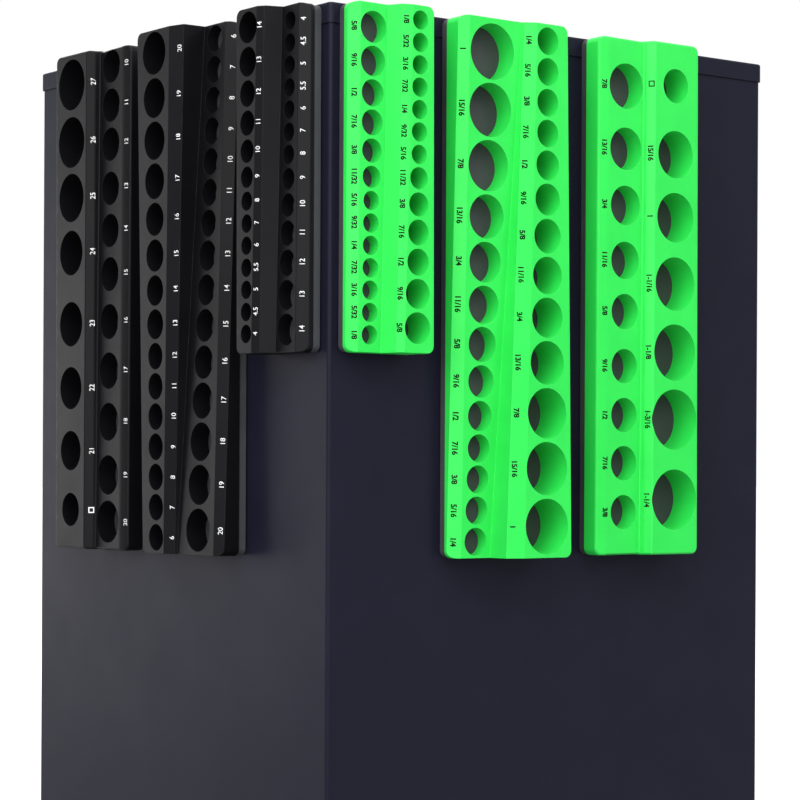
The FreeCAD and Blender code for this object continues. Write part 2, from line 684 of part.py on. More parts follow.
def make_tray_body(system, design):
    """Moulded tray: two steps along its length, with a row of socket bores in each."""
    tag = system.capitalize() + "".join(word.capitalize() for word in design.split("_"))
    body = new_body(tag + "Body")
    tallest = "max(%s_high_near; %s_high_far)" % (design, design)
    rounded_block(body, tag, design, "0 * plate_inset", "tray_plate", tallest + " - tray_plate")
    steps = new_body(tag + "StepsBody")
    near = outline(steps, tag + "NearEnd", "YZ_Plane", section(design, "near"))
    far = outline(steps, tag + "FarEnd", "YZ_Plane", section(design, "far"), design + "_length")
    loft = steps.newObject("PartDesign::AdditiveLoft", tag + "Loft")
    loft.Profile = near
    loft.Sections = [far]
    loft.Ruled = True
    shared = body.newObject("PartDesign::Boolean", tag + "Steps")
    shared.setObjects([steps])
    shared.Type = "Common"
    circles = []
    for row in ("front", "back"):
        stem = "%s_%s_%s" % (system, design, row)
        start = "%s_%s_row_near" % (design, row)
        end = "%s_%s_row_far" % (design, row)
        for number in range(1, len(ROWS[system, design, row][2]) + 1):
            along = "%s_at_%d" % (stem, number)
            across = "%s + (%s - %s) * %s / %s_length" % (start, end, start, along, design)
            circles.append((along, across, "%s_bore_%d / 2" % (stem, number)))
    bores = rounds(body, tag + "Bores", "XY_Plane", circles, "tray_plate")
    pocket(body, tag + "BorePockets", bores, tallest, True)
    hang(body, system, design)
    return keep("%s_tray_%s" % (system, design), body)


def make_tray_base(system, design):
    """Base plate under a tray, with round pockets in its back, and the magnets in them."""
    tag = system.capitalize() + "".join(word.capitalize() for word in design.split("_"))
    length, width = design + "_length", design + "_width"
    body = new_body(tag + "BaseBody")
    rounded_block(body, tag + "Base", design, "plate_inset", None, "tray_plate")
    count = MAGNETS_ALONG[design]
    spots = []
    for step in range(count):
        along = "magnet_margin + (%s - 2 * magnet_margin) * %d / %d" % (length, step, count - 1)
        for across in ("magnet_inset", "%s - magnet_inset" % width):
            spots.append((along, across))
    pockets = [spot + ("magnet_bore / 2 + magnet_fit",) for spot in spots]
    seats = rounds(body, tag + "MagnetSeats", "XY_Plane", pockets)
    pocket(body, tag + "MagnetPockets", seats, "magnet_height", True)
    hang(body, system, design)
    keep("%s_base_%s" % (system, design), body)

    members = []
    for number, (along, across) in enumerate(spots, 1):
        magnet = doc.addObject("Part::Cylinder", "%sMagnet%d" % (tag, number))
        magnet.setExpression("Radius", bound("magnet_bore / 2"))
        magnet.setExpression("Height", bound("magnet_height"))
        magnet.setExpression("Placement.Base.x", bound(along))
        magnet.setExpression("Placement.Base.y", bound(across))
        members.append(magnet)
    magnets = group(tag + "Magnets", members)
    hang(magnets, system, design)
    keep("%s_magnets_%s" % (system, design), magnets)


# ---------------------------------------------------------------- build, check and write
make_shell()
make_lid()
make_base_pan()
make_rails()
make_uprights()
make_slides()
for number in DRAWERS:
    make_drawer(number)
make_lock()
for system, design in TRAY_PLACES:
    make_tray_body(system, design)
    make_tray_base(system, design)
doc.recompute()

for item in doc.Objects:
    if "Invalid" in item.State or "Error" in item.State:
        raise RuntimeError("%s failed to build" % item.Label)
for name, piece in PIECES.items():
    if piece.Shape.isNull() or not piece.Shape.isValid():
        raise RuntimeError("%s has no valid shape" % name)

os.makedirs("parts", exist_ok=True)
for name, piece in PIECES.items():
    piece.Shape.exportStep("parts/%s.step" % name)
    box = piece.Shape.BoundBox
    print("%-26s %2d solids %10.0f mm3  x %.1f..%.1f  y %.1f..%.1f  z %.1f..%.1f" % (
        name, len(piece.Shape.Solids), piece.Shape.Volume, box.XMin, box.XMax,
        box.YMin, box.YMax, box.ZMin, box.ZMax))
print(len(PIECES), "pieces")
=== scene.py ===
# %% [markdown]
# # A steel drawer cabinet with six magnetic socket trays
#
# The cabinet is folded sheet steel in a black powder coat. Three green trays hold inch sockets on
# its back panel, and three black trays hold metric sockets on its right side panel. The packed
# model gives every piece its true size and place, so this notebook only dresses it: the trays are
# modelled again with soft moulded edges and printed marks, the folded steel gets its bends, and
# each piece gets its finish.

# %% Load the frame
import math

import bpy
import bmesh
from mathutils import Matrix, Vector


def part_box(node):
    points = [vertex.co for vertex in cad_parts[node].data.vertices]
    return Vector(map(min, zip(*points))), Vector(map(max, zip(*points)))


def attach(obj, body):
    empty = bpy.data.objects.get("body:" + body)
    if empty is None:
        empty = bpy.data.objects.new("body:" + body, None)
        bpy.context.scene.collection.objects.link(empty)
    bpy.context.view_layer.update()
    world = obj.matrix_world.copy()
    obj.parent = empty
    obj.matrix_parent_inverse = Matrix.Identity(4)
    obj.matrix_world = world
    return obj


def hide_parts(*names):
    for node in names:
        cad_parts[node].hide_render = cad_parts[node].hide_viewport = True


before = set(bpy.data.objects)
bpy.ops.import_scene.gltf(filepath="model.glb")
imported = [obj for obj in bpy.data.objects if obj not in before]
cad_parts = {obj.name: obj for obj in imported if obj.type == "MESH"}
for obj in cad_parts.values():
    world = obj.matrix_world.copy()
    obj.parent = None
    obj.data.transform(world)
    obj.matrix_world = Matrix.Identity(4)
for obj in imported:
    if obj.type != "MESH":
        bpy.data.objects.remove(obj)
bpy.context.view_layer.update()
MM = 0.001
CLOSE = 0.01 * MM
print(len(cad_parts), "pieces in the frame")

# %% [markdown]
# ## Working by hand in code
#
# An operator acts on everything that is selected, and the frame arrives selected, so each step
# first clears the selection. In edit mode the faces and edges to work on are picked by where they
# lie or which way they run, just as a hand would click on them.


# %% Helpers for picking and placing
STRAIGHT = 0.999
SMOOTH_ANGLE = math.radians(40)
NORMAL_WEIGHT = 60


def select_only(*objects):
    """Select these objects and make the first one active."""
    if bpy.context.object and bpy.context.object.mode != "OBJECT":
        bpy.ops.object.mode_set(mode="OBJECT")
    bpy.ops.object.select_all(action="DESELECT")
    for obj in objects:
        obj.select_set(True)
    bpy.context.view_layer.objects.active = objects[0]


def apply_place(obj):
    """Put an object's place, turn and scale into its mesh."""
    select_only(obj)
    bpy.ops.object.transform_apply(location=True, rotation=True, scale=True)


def block(name, low, high):
    """A block between two opposite corners."""
    low, high = Vector(low), Vector(high)
    bpy.ops.object.select_all(action="DESELECT")
    bpy.ops.mesh.primitive_cube_add(size=1, location=(low + high) / 2)
    obj = bpy.context.object
    obj.name = obj.data.name = name
    obj.scale = high - low
    apply_place(obj)
    return obj


def pick(obj, kind, test):
    """In edit mode, select only the edges or vertices of obj that pass a test."""
    select_only(obj)
    bpy.ops.object.mode_set(mode="EDIT")
    bpy.ops.mesh.select_mode(type=kind)
    bpy.ops.mesh.select_all(action="DESELECT")
    shape = bmesh.from_edit_mesh(obj.data)
    parts = {"VERT": shape.verts, "EDGE": shape.edges}[kind]
    for part in [part for part in parts if test(part)]:
        part.select_set(True)
    shape.select_flush_mode()
    bmesh.update_edit_mesh(obj.data)


def middle(edge):
    """The middle of an edge."""
    return (edge.verts[0].co + edge.verts[1].co) / 2


def along(edge, axis):
    """True for an edge that runs along the axis with this index."""
    run = (edge.verts[1].co - edge.verts[0].co).normalized()
    return abs(run[axis]) > STRAIGHT


def apply_modifier(obj, kind, **settings):
    """Add a modifier, set it up and apply it."""
    select_only(obj)
    modifier = obj.modifiers.new(kind.lower(), kind)
    for key, value in settings.items():
        setattr(modifier, key, value)
    bpy.ops.object.modifier_apply(modifier=modifier.name)


def soften(obj, width, angle=35, segments=2):
    """Round every edge sharper than an angle, then smooth the shading over the rounds."""
    apply_modifier(obj, "BEVEL", width=width, segments=segments, limit_method="ANGLE",
                   angle_limit=math.radians(angle), miter_outer="MITER_ARC")
    select_only(obj)
    bpy.ops.object.shade_smooth_by_angle(angle=SMOOTH_ANGLE)
    apply_modifier(obj, "WEIGHTED_NORMAL", keep_sharp=True, weight=NORMAL_WEIGHT)


def dress(obj, material, body, slot, *nodes):
    """Give a finished piece its material and its body, and hide what it stands for; the slot is not
    used.
    """
    obj.data.materials.clear()
    obj.data.materials.append(material)
    if nodes:
        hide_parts(*nodes)
    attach(obj, body)
    select_only(obj)
    bpy.ops.object.select_all(action="DESELECT")


# %% [markdown]
# ## Shared effects
#
# Three effects turn up in almost every finish here. A moulded or painted surface has a fine grain,
# its colour drifts a little from place to place, and its edges are a touch lighter, partly from
# rubbing and partly as a painted highlight where an edge would catch the light. Each is one node
# group with named sockets, built once and placed in each material with its own values.


# %% Build the shared node groups
# A node that mixes two colours has these sockets for its factor, its two colours and its result.
MIX_FACTOR, MIX_FIRST, MIX_SECOND, MIX_RESULT = 0, 6, 7, 2


def new_group(name, inputs, outputs):
    """A shader group with named sockets, and its two end nodes."""
    group = bpy.data.node_groups.new(name, "ShaderNodeTree")
    for label, kind, value in inputs:
        socket = group.interface.new_socket(label, in_out="INPUT", socket_type=kind)
        socket.default_value = value
    for label, kind in outputs:
        group.interface.new_socket(label, in_out="OUTPUT", socket_type=kind)
    return group, group.nodes.new("NodeGroupInput"), group.nodes.new("NodeGroupOutput")


def add_node(tree, kind, **settings):
    """A node with its settings; names with a capital letter set its input sockets."""
    node = tree.nodes.new(kind)
    for key, value in settings.items():
        if key[0].isupper():
            node.inputs[key.replace("_", " ")].default_value = value
        else:
            setattr(node, key, value)
    return node


def make_grain_group():
    """Fine bumps over the whole surface, as a height and a value for roughness."""
    group, start, end = new_group(
        "fine_grain",
        [("Size", "NodeSocketFloat", 900.0), ("Low Roughness", "NodeSocketFloat", 0.4),
         ("High Roughness", "NodeSocketFloat", 0.5)],
        [("Height", "NodeSocketFloat"), ("Roughness", "NodeSocketFloat")])
    place = add_node(group, "ShaderNodeTexCoord")
    grain = add_node(group, "ShaderNodeTexNoise", Detail=3.0, Roughness=0.6)
    smudge = add_node(group, "ShaderNodeTexNoise", Scale=14.0, Detail=4.0, Roughness=0.65)
    spread = add_node(group, "ShaderNodeMapRange", From_Min=0.3, From_Max=0.7)
    links = group.links
    links.new(place.outputs["Object"], grain.inputs["Vector"])
    links.new(start.outputs["Size"], grain.inputs["Scale"])
    links.new(place.outputs["Object"], smudge.inputs["Vector"])
    links.new(smudge.outputs["Fac"], spread.inputs["Value"])
    links.new(start.outputs["Low Roughness"], spread.inputs["To Min"])
    links.new(start.outputs["High Roughness"], spread.inputs["To Max"])
    links.new(grain.outputs["Fac"], end.inputs["Height"])
    links.new(spread.outputs["Result"], end.inputs["Roughness"])
    return group


def make_drift_group():
    """A colour that drifts between two close shades."""
    group, start, end = new_group(
        "colour_drift",
        [("Light", "NodeSocketColor", (1, 1, 1, 1)), ("Dark", "NodeSocketColor", (0, 0, 0, 1)),
         ("Size", "NodeSocketFloat", 22.0)],
        [("Color", "NodeSocketColor")])
    place = add_node(group, "ShaderNodeTexCoord")
    cloud = add_node(group, "ShaderNodeTexNoise", Detail=5.0, Roughness=0.6)
    spread = add_node(group, "ShaderNodeMapRange", From_Min=0.35, From_Max=0.65)
    mix = add_node(group, "ShaderNodeMix", data_type="RGBA")
    links = group.links
    links.new(place.outputs["Object"], cloud.inputs["Vector"])
    links.new(start.outputs["Size"], cloud.inputs["Scale"])
    links.new(cloud.outputs["Fac"], spread.inputs["Value"])
    links.new(spread.outputs["Result"], mix.inputs[MIX_FACTOR])
    links.new(start.outputs["Dark"], mix.inputs[MIX_FIRST])
    links.new(start.outputs["Light"], mix.inputs[MIX_SECOND])
    links.new(mix.outputs[MIX_RESULT], end.inputs["Color"])
    return group


def make_wear_and_highlight_group():
    """A mask of rubbed edges and painted edge highlight, broken up by noise: 1 where a sharp edge is
    lightened.
    """
    group, start, end = new_group(
        "edge_wear_and_highlight",
        [("Width", "NodeSocketFloat", 0.0008), ("Amount", "NodeSocketFloat", 0.3)],
        [("Mask", "NodeSocketFloat")])
    place = add_node(group, "ShaderNodeTexCoord")
    rounded = add_node(group, "ShaderNodeBevel", samples=4)
    surface = add_node(group, "ShaderNodeNewGeometry")
    turn = add_node(group, "ShaderNodeVectorMath", operation="DOT_PRODUCT")
    edge = add_node(group, "ShaderNodeMapRange", From_Min=0.995, From_Max=0.8)
    breaks = add_node(group, "ShaderNodeTexNoise", Scale=160.0, Detail=4.0)
    patchy = add_node(group, "ShaderNodeMapRange", From_Min=0.35, From_Max=0.65)
    both = add_node(group, "ShaderNodeMath", operation="MULTIPLY")
    scaled = add_node(group, "ShaderNodeMath", operation="MULTIPLY")
    links = group.links
    links.new(start.outputs["Width"], rounded.inputs["Radius"])
    links.new(rounded.outputs["Normal"], turn.inputs[0])
    links.new(surface.outputs["Normal"], turn.inputs[1])
    links.new(turn.outputs["Value"], edge.inputs["Value"])
    links.new(place.outputs["Object"], breaks.inputs["Vector"])
    links.new(breaks.outputs["Fac"], patchy.inputs["Value"])
    links.new(edge.outputs["Result"], both.inputs[0])
    links.new(patchy.outputs["Result"], both.inputs[1])
    links.new(both.outputs["Value"], scaled.inputs[0])
    links.new(start.outputs["Amount"], scaled.inputs[1])
    links.new(scaled.outputs["Value"], end.inputs["Mask"])
    return group


FINE_GRAIN = make_grain_group()
COLOUR_DRIFT = make_drift_group()
# the edge mask stands partly for rubbed edges and partly for a painted highlight along every sharp
# edge
EDGE_WEAR_AND_HIGHLIGHT = make_wear_and_highlight_group()


# %% [markdown]
# ## One recipe for the finishes
#
# Powder coat, moulded plastic, zinc plate and rubber differ in colour, in how rough they are, in
# the size and height of their grain and in the lighter colour on their edges, which is partly
# rubbing and partly a painted highlight. So one recipe takes those as values. What is the same all
# over a surface, the share of metal and the strength of its reflections, is set straight on the
# shader.


# %% Make the finishes
def finish(name, light, dark, rough, grain_size, grain_height, worn_and_lit, wear_and_highlight=0.3, metallic=0.0,
           specular=0.5):
    """A material from its two shades, roughness range, grain and edge colour, which is partly wear
    and partly a painted highlight.
    """
    material = bpy.data.materials.new(name)
    material.use_nodes = True
    tree = material.node_tree
    shader = tree.nodes["Principled BSDF"]
    shader.inputs["Metallic"].default_value = metallic
    shader.inputs["Specular IOR Level"].default_value = specular
    grain = add_node(tree, "ShaderNodeGroup", node_tree=FINE_GRAIN)
    grain.inputs["Size"].default_value = grain_size
    grain.inputs["Low Roughness"].default_value = rough[0]
    grain.inputs["High Roughness"].default_value = rough[1]
    drift = add_node(tree, "ShaderNodeGroup", node_tree=COLOUR_DRIFT)
    drift.inputs["Light"].default_value = (*light, 1.0)
    drift.inputs["Dark"].default_value = (*dark, 1.0)
    # the edges are mixed towards the edge colour: rubbed wear and a painted highlight where an edge
    # catches the light
    edges = add_node(tree, "ShaderNodeGroup", node_tree=EDGE_WEAR_AND_HIGHLIGHT)
    edges.inputs["Amount"].default_value = wear_and_highlight
    colour = add_node(tree, "ShaderNodeMix", data_type="RGBA")
    colour.inputs[MIX_SECOND].default_value = (*worn_and_lit, 1.0)
    bump = add_node(tree, "ShaderNodeBump", Strength=1.0, Distance=grain_height)
    links = tree.links
    links.new(edges.outputs["Mask"], colour.inputs[MIX_FACTOR])
    links.new(drift.outputs["Color"], colour.inputs[MIX_FIRST])
    links.new(colour.outputs[MIX_RESULT], shader.inputs["Base Color"])
    links.new(grain.outputs["Roughness"], shader.inputs["Roughness"])
    links.new(grain.outputs["Height"], bump.inputs["Height"])
    links.new(bump.outputs["Normal"], shader.inputs["Normal"])
    return material


# the last colour of each finish is its edge colour: partly wear, partly a painted highlight along
# the edges
powder_coat = finish("black_powder_coat", (0.0090, 0.0088, 0.0178), (0.0076, 0.0074, 0.0156),
                     (0.36, 0.44), 1300.0, 0.00003, (0.04, 0.04, 0.055), wear_and_highlight=0.35, specular=0.062)
green_plastic = finish("green_moulded_plastic", (0.022, 0.575, 0.068), (0.018, 0.535, 0.061),
                       (0.42, 0.52), 1500.0, 0.00003, (0.12, 0.66, 0.18), wear_and_highlight=0.35,
                       specular=0.25)
black_plastic = finish("black_moulded_plastic", (0.0034, 0.0034, 0.0043), (0.0027, 0.0027, 0.0035),
                       (0.36, 0.46), 1500.0, 0.00004, (0.05, 0.05, 0.054), wear_and_highlight=0.35,
                       specular=0.085)
base_plastic = finish("dark_grey_base", (0.044, 0.045, 0.049), (0.035, 0.036, 0.040),
                      (0.45, 0.6), 900.0, 0.00003, (0.08, 0.08, 0.09), specular=0.2)
zinc_plate = finish("zinc_plated_steel", (0.48, 0.49, 0.51), (0.38, 0.39, 0.42),
                    (0.26, 0.42), 500.0, 0.00001, (0.75, 0.75, 0.77), metallic=1.0)
satin_aluminium = finish("satin_aluminium", (0.45, 0.46, 0.48), (0.41, 0.42, 0.44),
                         (0.30, 0.40), 1800.0, 0.000008, (0.75, 0.75, 0.76), metallic=1.0)
bright_lock = finish("bright_lock_metal", (0.62, 0.62, 0.63), (0.55, 0.55, 0.57),
                     (0.10, 0.22), 600.0, 0.000004, (0.8, 0.8, 0.8), metallic=1.0)
rubber = finish("black_ribbed_rubber", (0.013, 0.013, 0.014), (0.009, 0.009, 0.010),
                (0.62, 0.78), 700.0, 0.00006, (0.05, 0.05, 0.05))
ferrite = finish("ground_ferrite", (0.075, 0.075, 0.08), (0.05, 0.05, 0.055),
                 (0.4, 0.6), 1200.0, 0.00004, (0.2, 0.2, 0.2), metallic=0.6)
black_ink = finish("black_print", (0.006, 0.008, 0.006), (0.004, 0.006, 0.004),
                   (0.6, 0.7), 2000.0, 0.00001, (0.01, 0.03, 0.01), wear_and_highlight=0.1, specular=0.05)
white_ink = finish("white_print", (0.80, 0.80, 0.80), (0.66, 0.66, 0.66),
                   (0.5, 0.6), 2000.0, 0.00001, (0.4, 0.4, 0.4), wear_and_highlight=0.1)
print("finishes made:", len(bpy.data.materials))

# %% [markdown]
# ## Pieces that keep their shape from the frame
#
# The ball slides, their uprights, the trays' base plates and the magnets in them are plain
# pressed, moulded or ground pieces and are right as they come, so they only get their finish.
# Every other piece starts with the powder coat.

# %% Dress the plain pieces
PLAIN_FINISHES = {"slide_uprights": zinc_plate, "slide_fixed": zinc_plate,
                  "slide_middle": zinc_plate, "slide_inner": zinc_plate,
                  "_base_": base_plastic, "magnets": ferrite}
for node_name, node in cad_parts.items():
    node.data.materials.clear()
    chosen = [look for word, look in PLAIN_FINISHES.items() if word in node_name]
    node.data.materials.append(chosen[0] if chosen else powder_coat)

# %% [markdown]
# ## Folded steel
#
# Sheet steel never has a razor edge: every fold has a bend radius, and every cut edge is rounded a
# little by the paint. The frame's solids have the big bends already. The easy way to the small
# ones is to copy the solid, merge its loose triangles, dissolve the flat ones into whole faces,
# and bevel what is left.


# %% Soften a copy of a frame piece
FLAT_ANGLE = math.radians(1.0)


def softened_copy(node_name, width, segments=2):
    """A copy of a frame piece with whole faces and rounded edges."""
    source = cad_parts[node_name]
    obj = source.copy()
    obj.data = source.data.copy()
    obj.name = obj.data.name = node_name + "_folded"
    obj.parent = None
    for tag in list(obj.keys()):
        del obj[tag]
    bpy.context.scene.collection.objects.link(obj)
    select_only(obj)
    bpy.ops.mesh.customdata_custom_splitnormals_clear()
    bpy.ops.object.mode_set(mode="EDIT")
    bpy.ops.mesh.select_all(action="SELECT")
    bpy.ops.mesh.remove_doubles(threshold=CLOSE)
    bpy.ops.mesh.dissolve_limited(angle_limit=FLAT_ANGLE)
    bpy.ops.object.mode_set(mode="OBJECT")
    soften(obj, width, segments=segments)
    return obj


SHEET_EDGE = 0.35 * MM
for node_name in ("shell_wrap", "top_lid", "top_rail", "foot_rail"):
    piece = softened_copy(node_name, SHEET_EDGE)
    dress(piece, powder_coat, "cabinet", "cabinet_paint", node_name)
    print(node_name, len(piece.data.polygons), "faces")

# %% [markdown]
# ## Drawers
#
# Each drawer is a folded box behind a folded front, with a full-width aluminium pull along its
# top edge and a ribbed rubber liner on its floor. The liner's ribs are real: one rib is made from
# a thin block, repeated side by side with an array, and laid on a thinner slab.


# %% Make the drawers
RIB_PITCH = 4.0 * MM
RIB_WIDTH = 1.8 * MM
RIB_HEIGHT = 0.8 * MM
RIB_ROUND = 0.5 * MM
RIB_OVERLAP = 0.2 * MM
RIB_END_GAP = 1.0 * MM
RIB_SMOOTH_ANGLE = math.radians(50)
DRAWERS = (1, 2, 3, 4)
# each piece of a drawer: its edge radius in millimetres, its finish and its slot
DRAWER_SHEETS = (("drawer_box_%d", 0.3, powder_coat, "cabinet_paint"),
                 ("drawer_front_%d", 0.8, powder_coat, "cabinet_paint"),
                 ("drawer_pull_%d", 0.6, satin_aluminium, "pull_metal"))


def ribbed_liner(number):
    """A rubber liner: a slab with ribs that run from front to back."""
    name = "drawer_liner_%d" % number
    low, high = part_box(name)
    slab_top = high.z - RIB_HEIGHT
    slab = block(name + "_ribbed", low, (high.x, high.y, slab_top))
    count = int((high.x - low.x) / RIB_PITCH)
    first = (low.x + high.x) / 2 - (count - 1) * RIB_PITCH / 2
    rib = block("rib", (first - RIB_WIDTH / 2, low.y + RIB_END_GAP, slab_top - RIB_OVERLAP),
                (first + RIB_WIDTH / 2, high.y - RIB_END_GAP, high.z))
    pick(rib, "EDGE", lambda edge: along(edge, 1) and middle(edge).z > high.z - CLOSE)
    bpy.ops.mesh.bevel(offset=RIB_ROUND, segments=2)
    apply_modifier(rib, "ARRAY", count=count, use_relative_offset=False,
                   use_constant_offset=True, constant_offset_displace=(RIB_PITCH, 0, 0))
    select_only(slab, rib)
    bpy.ops.object.join()
    bpy.ops.object.shade_smooth_by_angle(angle=RIB_SMOOTH_ANGLE)
    dress(slab, rubber, "drawer_%d" % number, "liner_rubber", name)


for number in DRAWERS:
    body = "drawer_%d" % number
    for stem, width, look, slot in DRAWER_SHEETS:
        node_name = stem % number
        piece = softened_copy(node_name, width * MM, segments=3)
        dress(piece, look, body, slot, node_name)
    ribbed_liner(number)
print("drawers dressed")

# %% [markdown]
# ## Lock
#
# The lock is a turned body with a key slot in its plug, bright metal all over. Its rim and the
# plug's edge are rounded. Behind it the plug turns a zinc-plated cam, and the top drawer carries
# the catch that the cam holds.

# %% Make the lock
# each piece: its body, its edge radius in millimetres, its bevel segments, its finish and its slot
LOCK_PIECES = (("lock_housing", "cabinet", 0.5, 3, bright_lock, "lock_metal"),
               ("lock_plug", "lock", 0.3, 3, bright_lock, "lock_metal"),
               ("lock_cam", "lock", 0.3, 2, zinc_plate, "zinc_steel"),
               ("lock_catch", "drawer_1", 0.3, 2, zinc_plate, "zinc_steel"))
for node_name, body, width, segments, look, slot in LOCK_PIECES:
    piece = softened_copy(node_name, width * MM, segments)
    dress(piece, look, body, slot, node_name)

# %% [markdown]
# ## Socket trays: the plan
#
# Each tray is one moulding with two steps along its length and a row of round bores in each step.
# The bores grow along one row and shrink along the other, so the line between the steps runs at a
# slant. A tray is modelled flat, with X along it, Y across it and Z off the wall, and is hung on its
# wall at the end. The frame gives its length, width and place; the sizes below are the ones that
# shape its surface, at the near end and at the far end, in millimetres. Across the tray come the
# outer wall, a narrow facet, the low step, the riser up to the knee, the sloping ledge and the high
# step.

# %% Sizes of the trays
TRAY_SHAPES = {
    "quarter": {"wall": (9.0, 8.2), "low": (15.6, 14.4), "high": (27.0, 28.4),
                "knee": (24.7, 25.8), "facet": (5.6, 5.4), "step": (27.6, 23.6),
                "riser": (5.0, 4.0), "ledge": (6.2, 4.6),
                "front_row": (16.0, 14.6), "back_row": (45.0, 42.4)},
    "three_eighth": {"wall": (17.6, 7.6), "low": (21.6, 14.0), "high": (27.6, 34.0),
                     "knee": (23.4, 30.4), "facet": (6.6, 7.2), "step": (51.0, 31.6),
                     "riser": (0.6, 0.6), "ledge": (7.6, 12.8),
                     "front_row": (26.5, 19.0), "back_row": (68.6, 64.4)},
    "half": {"wall": (18.2, 17.2), "low": (20.2, 19.0), "high": (27.4, 28.6),
             "knee": (22.5, 22.9), "facet": (7.4, 7.4), "step": (40.1, 38.7),
             "riser": (0.6, 0.6), "ledge": (4.2, 2.8),
             "front_row": (23.9, 23.8), "back_row": (63.8, 63.2)},
}
# places across each tray of the marks beside its two rows of bores, at the near and far end
MARK_PLACES = {
    ("inch", "quarter"): {"front": (2.9, 4.0), "back": (34.9, 29.1)},
    ("inch", "three_eighth"): {"front": (3.0, 3.3), "back": (54.6, 36.0)},
    ("inch", "half"): {"front": (4.1, 7.4), "back": (43.0, 40.2)},
    ("metric", "quarter"): {"front": (2.9, 3.4), "back": (36.0, 30.5)},
    ("metric", "three_eighth"): {"front": (2.6, 2.6), "back": (53.7, 35.7)},
    ("metric", "half"): {"front": (2.0, 4.4), "back": (41.4, 40.0)},
}
SQUARE = "square"

# each row: margin to its first bore, gaps between bores (the last gap repeats), and its bores as
# pairs of the mark printed beside one and its diameter
INCH_QUARTER = [("5/8", 20.4), ("9/16", 19.4), ("1/2", 17.4), ("7/16", 16.6), ("3/8", 15.5),
                ("11/32", 14.2), ("5/16", 12.4), ("9/32", 12.4), ("1/4", 12.4), ("7/32", 12.4),
                ("3/16", 12.4), ("5/32", 12.4), ("1/8", 12.4)]
INCH_THREE_EIGHTH = [("1", 37.0), ("15/16", 35.6), ("7/8", 33.8), ("13/16", 29.2), ("3/4", 26.8),
                     ("11/16", 25.2), ("5/8", 23.2), ("9/16", 21.5), ("1/2", 20.0),
                     ("7/16", 18.5), ("3/8", 18.5), ("5/16", 18.5), ("1/4", 18.5)]
METRIC_QUARTER = [("14", 20.5), ("13", 19.3), ("12", 17.2), ("11", 16.4), ("10", 15.2),
                  ("9", 13.9), ("8", 12.5), ("7", 12.0), ("6", 12.0), ("5.5", 12.0),
                  ("5", 12.0), ("4.5", 12.0), ("4", 12.0)]
METRIC_THREE_EIGHTH = [("20", 29.0), ("19", 27.0), ("18", 26.0), ("17", 24.3), ("16", 22.5),
                       ("15", 22.0), ("14", 20.8), ("13", 20.4), ("12", 18.2), ("11", 18.2),
                       ("10", 18.2), ("9", 18.2), ("8", 18.2), ("7", 18.2), ("6", 18.2)]
ROWS = {
    ("inch", "quarter", "front"): (5.4, [1.85], INCH_QUARTER),
    ("inch", "quarter", "back"): (3.4, [1.95], INCH_QUARTER[::-1]),
    ("inch", "three_eighth", "front"): (3.6, [2.0], INCH_THREE_EIGHTH),
    ("inch", "three_eighth", "back"): (2.3, [2.05], INCH_THREE_EIGHTH[::-1]),
    ("inch", "half", "front"): (
        17.2, [12.9, 10.8, 11.4, 10.1, 13.5, 10.0, 9.4, 10.1],
        [("7/8", 31.2), ("13/16", 29.2), ("3/4", 27.2), ("11/16", 25.8), ("5/8", 24.4),
         ("9/16", 23.7), ("1/2", 23.7), ("7/16", 23.7), ("3/8", 23.4)]),
    ("inch", "half", "back"): (
        17.9, [19.3, 10.1, 10.2, 9.5, 6.0, 13.7],
        [(SQUARE, 23.8), ("15/16", 33.0), ("1", 34.6), ("1-1/16", 37.2), ("1-1/8", 39.2),
         ("1-3/16", 42.0), ("1-1/4", 42.0)]),
    ("metric", "quarter", "front"): (4.6, [2.25], METRIC_QUARTER),
    ("metric", "quarter", "back"): (6.8, [2.25], METRIC_QUARTER[::-1]),
    ("metric", "three_eighth", "front"): (2.4, [2.35], METRIC_THREE_EIGHTH),
    ("metric", "three_eighth", "back"): (2.0, [2.35], METRIC_THREE_EIGHTH[::-1]),
    ("metric", "half", "front"): (
        5.0, [4.1, 10.2, 9.7, 9.3, 9.1, 6.9, 6.2, 7.6, 4.0, 4.0],
        [("20", 30.0), ("19", 28.0), ("18", 27.0), ("17", 26.0), ("16", 25.0), ("15", 24.2),
         ("14", 23.7), ("13", 23.7), ("12", 23.7), ("11", 23.7), ("10", 23.7)]),
    ("metric", "half", "back"): (
        16.0, [16.2, 15.5, 14.8, 19.1, 6.1, 4.2, 4.8],
        [(SQUARE, 24.0), ("21", 28.4), ("22", 30.4), ("23", 32.0), ("24", 32.2), ("25", 34.8),
         ("26", 36.6), ("27", 36.6)]),
}


# %% Work out a tray's surface and its bores
LIFT = 0.06 * MM


